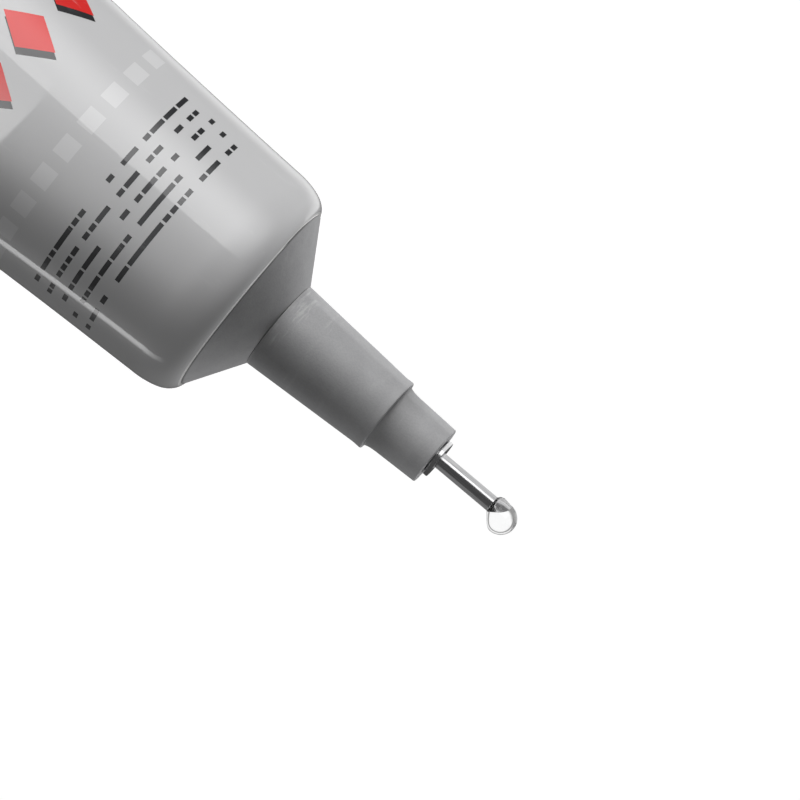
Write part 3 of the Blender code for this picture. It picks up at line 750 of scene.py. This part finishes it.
# Needle and its collar: a bright capillary pressed into a flanged bush
needle = {
    "radius": 0.725, "bore": 0.525, "end": 28.35, "foot": 17.65,
    "cutZone": 0.2, "bevel": 0.9, "hump": 0.8,  # the end is cut at a slant, with one side rounded off
    "steps": 96,
}
collar = {"hole": 0.825, "shank": 1.2, "flange": 1.78, "under": 20.95, "top": 21.37, "steps": 96}
collarProfile = [
    (collar["hole"], collar["top"], 0.06),
    (collar["flange"], collar["top"], 0.07),
    (collar["flange"], collar["under"], 0.05),
    (collar["shank"], collar["under"], 0.0),
    (collar["shank"], needle["foot"], 0.1),
    (collar["hole"], needle["foot"], 0.05),
]
needleProfile = [
    (needle["radius"], needle["end"], 0.06),
    (needle["radius"], needle["foot"], 0.04),
    (needle["bore"], needle["foot"], 0.04),
    (needle["bore"], needle["end"], 0.05),
]
collarMesh = spunProfile(collarProfile, collar["steps"])
tubeCollar = finishPiece("needleCollar", collarMesh, collarSteel, "applicator", "needle_collar")
needleMesh = spunProfile(needleProfile, needle["steps"])
for vert in needleMesh.verts:
    if vert.co.z > needle["end"] - needle["cutZone"]:
        vert.co.z += vert.co.y * (needle["bevel"] - vert.co.y * needle["hump"])
tubeNeedle = finishPiece("glueNeedle", needleMesh, needleSteel, "applicator", "needle")

# Drop: hangs from the needle's end and leans to one side
drop = {
    "radius": 1.41, "centre": 28.45, "upper": 1.54, "lower": 1.43, "lean": 0.46, "climb": 1.23, "neck": 0.83,
    "skin": 0.01, "filletSteps": 5, "filletPower": 2.2, "bellySteps": 42, "steps": 96, "sharp": 70,
}


def makeDrop(material):
    top = needle["end"] - drop["climb"]
    skin = drop["skin"]
    neckTurn = math.asin(drop["neck"] / drop["radius"])
    neckAt = drop["centre"] - drop["upper"] * math.cos(neckTurn)
    profile = [(0.0, top, 0.0), (needle["radius"] - skin, top, 0.0)]
    for step in range(drop["filletSteps"]):  # hollow fillet up the needle
        share = step / drop["filletSteps"]
        widen = (drop["neck"] - needle["radius"] - skin) * share ** drop["filletPower"]
        profile.append((needle["radius"] + skin + widen, top + skin + (neckAt - top - skin) * share, 0.0))
    for step in range(drop["bellySteps"] + 1):  # belly, a little longer above than below
        turn = neckTurn + (math.pi - neckTurn) * step / drop["bellySteps"]
        tall = drop["upper"] if turn < math.pi / 2 else drop["lower"]
        profile.append((drop["radius"] * math.sin(turn), drop["centre"] - tall * math.cos(turn), 0.0))
    bm = spunProfile(profile, drop["steps"], closed=False)
    for vert in bm.verts:
        share = unit((vert.co.z - top) / (drop["centre"] - top))
        vert.co.y -= drop["lean"] * share * share * (3 - 2 * share)
    return finishPiece("glueDrop", bm, material, "applicator", "glue_drop", drop["sharp"])


glueDrop = makeDrop(dropGlue)

# CAD pieces inside the tube keep their shape and get their finishes
for nodeName, material in (("barrier_disc", barrierFoil), ("seal_washer", washerFoam),
                           ("glue_fill", innerGlue), ("glue_column", innerGlue)):
    mesh = frame["nodes"][nodeName].data
    mesh.materials.clear()
    mesh.materials.append(material)
print("inner pieces finished")

# Stage: a plain white table, a pale sky and soft lights
stage = {
    "tableHalf": 2.0, "tableDrop": 0.0001, "paper": (0.3, 0.3, 0.3, 1), "paperRough": 0.9,
    "white": 0.95, "tableBounce": 0.16, "skyGlow": 0.21, "skyGloss": 0.09,
    # the drop bends paper with painted shade, dimming to one side, in a ring and some way off, and a sky that
    # dims overhead
    "dropSpot": (0.0589, -0.0005, 0.0),
    "dimWay": (0.5, 0.866, 0.0), "dimReach": (-0.0085, -0.0045), "dim": 0.22,
    "ringSpot": (0.0589, 0.0018, 0.0), "ringRadius": 0.0108, "ringReach": (0.0012, 0.0026), "ringDim": 0.3,
    "farReach": (0.02, 0.032), "farDim": 0.4, "clearReach": (0.036, 0.05),
    "overhead": (0.45, 0.75), "overheadDim": 0.15,
}


def makePaper():
    material = bpy.data.materials.new("palePaper")
    material.use_nodes = True
    tree = material.node_tree
    rays = tree.nodes.new("ShaderNodeLightPath").outputs
    spot = tree.nodes.new("ShaderNodeTexCoord").outputs["Object"]
    offSpot = vectorCalc(tree, "SUBTRACT", spot, stage["dropSpot"])["Vector"]
    sideways = vectorCalc(tree, "DOT_PRODUCT", offSpot, stage["dimWay"])["Value"]
    away = vectorCalc(tree, "LENGTH", offSpot)["Value"]
    fromRing = vectorCalc(tree, "DISTANCE", spot, stage["ringSpot"])["Value"]
    offRing = offFrom(tree, fromRing, stage["ringRadius"])
    # painted shade on the paper, seen only by rays through the drop
    through = remap(tree, sideways, *stage["dimReach"], stage["dim"], 1.0)
    for shade in (remap(tree, away, *stage["farReach"], 1.0, stage["farDim"]),
                  remap(tree, offRing, *stage["ringReach"], stage["ringDim"], 1.0)):
        through = calc(tree, "MINIMUM", through, shade)
    through = calc(tree, "MAXIMUM", through, remap(tree, away, *stage["clearReach"]))
    seen = calc(tree, "MAXIMUM", rays["Is Camera Ray"],
                calc(tree, "MULTIPLY", rays["Is Transmission Ray"], through))
    glow = calc(tree, "MAXIMUM", calc(tree, "MULTIPLY", seen, stage["white"]), stage["tableBounce"])
    feed(tree, tree.nodes["Principled BSDF"], Base_Color=stage["paper"], Roughness=stage["paperRough"],
         Emission_Color=(1, 1, 1, 1), Emission_Strength=glow)
    return material


def makeTable():
    bm = bmesh.new()
    bmesh.ops.create_grid(bm, x_segments=1, y_segments=1, size=stage["tableHalf"])
    bmesh.ops.translate(bm, verts=bm.verts, vec=(0, 0, -stage["tableDrop"]))
    mesh = bpy.data.meshes.new("paleTable")
    bm.to_mesh(mesh)
    bm.free()
    mesh.materials.append(makePaper())
    table = bpy.data.objects.new("paleTable", mesh)
    bpy.context.scene.collection.objects.link(table)
    table.visible_glossy = False
    table.visible_shadow = False


def makeSky():
    world = bpy.data.worlds.new("studioSky")
    world.use_nodes = True
    bpy.context.scene.world = world
    tree = world.node_tree
    rays = tree.nodes.new("ShaderNodeLightPath").outputs
    height = splitAxes(tree, tree.nodes.new("ShaderNodeTexCoord").outputs["Generated"])[2]
    plain = remap(tree, rays["Is Glossy Ray"], 0.0, 1.0, stage["skyGlow"], stage["skyGloss"])
    overhead = remap(tree, height, *stage["overhead"], 1.0, stage["overheadDim"])
    seen = calc(tree, "MAXIMUM", rays["Is Camera Ray"],
                calc(tree, "MULTIPLY", rays["Is Transmission Ray"], overhead))
    glow = calc(tree, "ADD", calc(tree, "MULTIPLY", plain, calc(tree, "SUBTRACT", 1.0, seen)),
                calc(tree, "MULTIPLY", seen, stage["white"]))
    feed(tree, tree.nodes["Background"], Color=(1, 1, 1, 1), Strength=glow)


# Lights, by the rays they shine for. Each has the pieces it lights, its angle from straight up towards +y,
# its distance, place along x, size along the tube and across, and brightness. Some fade across their width
# and end along the tube, where that end may bow.
lights = {
    "diffuse": {
        "keyLight": {
            "on": "sleeve", "angle": 62.2, "far": 1.5, "along": -0.875, "size": (1.0, 0.85), "bright": 12.7,
        },
        "nozzleKey": {
            "on": "nozzle", "angle": 66.2, "far": 1.5, "along": -0.875, "size": (1.0, 0.85), "bright": 14.2,
        },
        "frontFill": {
            "on": "sleeve", "angle": 100, "far": 0.3, "along": 0.35, "size": (0.4, 0.3), "bright": 1.2,
        },
        "rollLeft": {
            "on": "sleeve", "angle": -160, "far": 0.5, "along": 0.5, "size": (0.3, 0.3), "bright": 12.0,
        },
        "rollRight": {
            "on": "sleeve", "angle": 145, "far": 0.5, "along": 0.5, "size": (0.4, 0.3), "bright": 14.0,
        },
        "coneRight": {
            "on": "cone", "angle": 118, "far": 0.6, "along": 0.25, "size": (0.4, 0.3), "bright": 20.5,
        },
        "coneLeft": {
            "on": "cone", "angle": -125, "far": 0.6, "along": 0.25, "size": (0.4, 0.3), "bright": 12.0,
        },
        "nozzleRight": {
            "on": "nozzle", "angle": 119, "far": 0.6, "along": 0.1, "size": (0.4, 0.3), "bright": 10.2,
        },
        "nozzleLeft": {
            "on": "nozzle", "angle": -135, "far": 0.6, "along": 0.1, "size": (0.4, 0.3), "bright": 5.5,
        },
        "tipFill": {
            "on": "nozzle", "angle": -15, "far": 0.013, "along": 0.0235, "size": (0.012, 0.024), "bright": 0.58,
        },
        "tipFront": {
            "on": "nozzle", "angle": 180, "far": 0.15, "along": 0.25, "size": (0.1, 0.1), "bright": 45.0,
        },
    },
    "glossy": {
        "needleTop": {
            "on": "steel", "angle": 38.5, "far": 0.45, "along": 0.0, "size": (0.5, 0.25), "bright": 1.8,
        },
        "needleSide": {
            "on": "pin", "angle": 112, "far": 0.5, "along": 0.0, "size": (1.2, 1.5), "bright": 0.75,
        },
        "collarSide": {
            "on": "collar", "angle": 112, "far": 0.5, "along": 0.0, "size": (1.2, 1.5), "bright": 1.15,
        },
        "needleLow": {
            "on": "pin", "angle": -128, "far": 0.5, "along": 0.0, "size": (1.2, 1.3), "bright": 0.16,
        },
        "softTop": {
            "on": "gloss", "angle": 61, "far": 0.45, "along": -0.1, "size": (0.95, 0.73), "bright": 2.75,
            "fade": (0.3, 0.72, 1.0, 0.0), "reach": (0.0, 0.4), "bow": (0.17, 0.596),
        },
        "dimTop": {
            "on": "sleeve", "angle": -26.75, "far": 0.4, "along": -0.12, "size": (0.9, 0.9), "bright": 0.2,
            "fade": (-0.1, 0.9, 0.0, 1.0), "reach": (-0.093, 0.3), "bow": (0.103, -0.4),
        },
        "edgeGlow": {
            "on": "sleeve", "angle": 140, "far": 0.4, "along": -0.05, "size": (0.7, 0.36), "bright": 0.7,
            "fade": (0.25, 0.75, 0.0, 1.0), "reach": (1.0, 1.1), "bow": (0.0, 0.0),
        },
        "edgeStrip": {
            "on": "sleeve", "angle": -106, "far": 0.4, "along": -0.075, "size": (0.44, 0.052), "bright": 3.8,
            "fade": (0.0, 0.45, 0.35, 1.0), "reach": (-0.06, 0.12), "bow": (0.0, 0.0),
        },
        "tailTop": {
            "on": "sleeve", "angle": -6, "far": 0.32, "along": -0.33, "size": (0.4, 0.46), "bright": 4.4,
            "fade": (0.2, 1.0, 1.0, 0.15), "reach": (-0.1439, -0.1434), "bow": (0.166, -0.084),
        },
    },
}
nozzlePieces = [tubeNozzle, nozzleThread]
lit = {
    "sleeve": [tubeSleeve], "cone": [tubeShoulder, neckThread], "nozzle": nozzlePieces,
    "steel": [tubeCollar, tubeNeedle, glueDrop], "pin": [tubeNeedle, glueDrop], "collar": [tubeCollar],
    "gloss": [tubeSleeve] + nozzlePieces,
}


def fadeLamp(lamp, one):
    lamp.use_nodes = True
    tree = lamp.node_tree
    long, wide = one["size"]
    bow, bowMiddle = one["bow"]
    lampU, lampV, _ = splitAxes(tree, tree.nodes.new("ShaderNodeNewGeometry").outputs["Parametric"])
    sideways = remap(tree, lampV, *one["fade"])
    along = calc(tree, "MULTIPLY_ADD", lampU, long, one["along"] - long / 2)
    offBow = calc(tree, "MULTIPLY_ADD", lampV, wide, -wide / 2 - bowMiddle)
    bowed = calc(tree, "MULTIPLY_ADD", calc(tree, "MULTIPLY", offBow, offBow), bow, along)
    ended = remap(tree, bowed, *one["reach"], 1.0, 0.0)
    feed(tree, tree.nodes["Emission"], Strength=calc(tree, "MULTIPLY", sideways, ended))


def makeLamp(name, one, shines, litPieces):
    lamp = bpy.data.lights.new(name, "AREA")
    lamp.shape = "RECTANGLE"
    long, wide = lamp.size, lamp.size_y = one["size"]
    lamp.energy = one["bright"] * math.pi * long * wide
    if "fade" in one:
        fadeLamp(lamp, one)
    turn = math.radians(one["angle"])
    obj = bpy.data.objects.new(name, lamp)
    sideways, upwards = math.sin(turn) * one["far"], math.cos(turn) * one["far"]
    obj.location = tubeOrigin + Vector((one["along"], sideways, upwards))
    obj.rotation_euler = (-turn, 0, 0)
    obj.visible_camera = False
    obj.visible_transmission = False
    obj.visible_glossy = shines == "glossy"
    obj.visible_diffuse = shines == "diffuse"
    bpy.context.scene.collection.objects.link(obj)
    obj.light_linking.receiver_collection = litPieces


def makeLights():
    groups = {}
    for label, pieces in lit.items():
        groups[label] = bpy.data.collections.new("lit_" + label)
        for piece in pieces:
            groups[label].objects.link(piece)
    for shines, lamps in lights.items():
        for name, one in lamps.items():
            makeLamp(name, one, shines, groups[one["on"]])
        print("lights made,", shines, len(lamps))


makeTable()
makeSky()
print("table and sky made")
makeLights()
bpy.context.scene.view_settings.view_transform = "Standard"

# Camera: looks down on the tube, which points down to the right in the picture
view = {
    "axisFall": 40.0,  # degrees from the picture's horizontal
    "noseUp": 3.8,  # degrees that the nozzle is turned up to the camera
    "aimAlong": 15.5, "aimAcross": 1.73, "far": 0.5, "wide": 0.06768, "sensor": 36.0, "clip": (0.01, 20.0),
}


def makeCamera():
    lean = math.radians(view["noseUp"]) - math.asin(alongTube.z)
    toCamera = Vector((math.sin(lean), 0, math.cos(lean)))
    inPicture = (alongTube - alongTube.dot(toCamera) * toCamera).normalized()
    crossPicture = toCamera.cross(inPicture)
    fall = math.radians(view["axisFall"])
    right = math.cos(fall) * inPicture + math.sin(fall) * crossPicture
    up = -math.sin(fall) * inPicture + math.cos(fall) * crossPicture
    target = tubeOrigin + (alongTube * view["aimAlong"] + crossPicture * view["aimAcross"]) * place["mm"]
    lens = bpy.data.cameras.new("photoCamera")
    lens.sensor_width = view["sensor"]
    lens.lens = view["sensor"] * view["far"] / view["wide"]
    lens.clip_start, lens.clip_end = view["clip"]
    camera = bpy.data.objects.new("photoCamera", lens)
    matrix = Matrix((right, up, toCamera)).transposed().to_4x4()
    matrix.translation = target + toCamera * view["far"]
    camera.matrix_world = matrix
    bpy.context.scene.collection.objects.link(camera)
    bpy.context.scene.camera = camera


makeCamera()
print("camera placed")
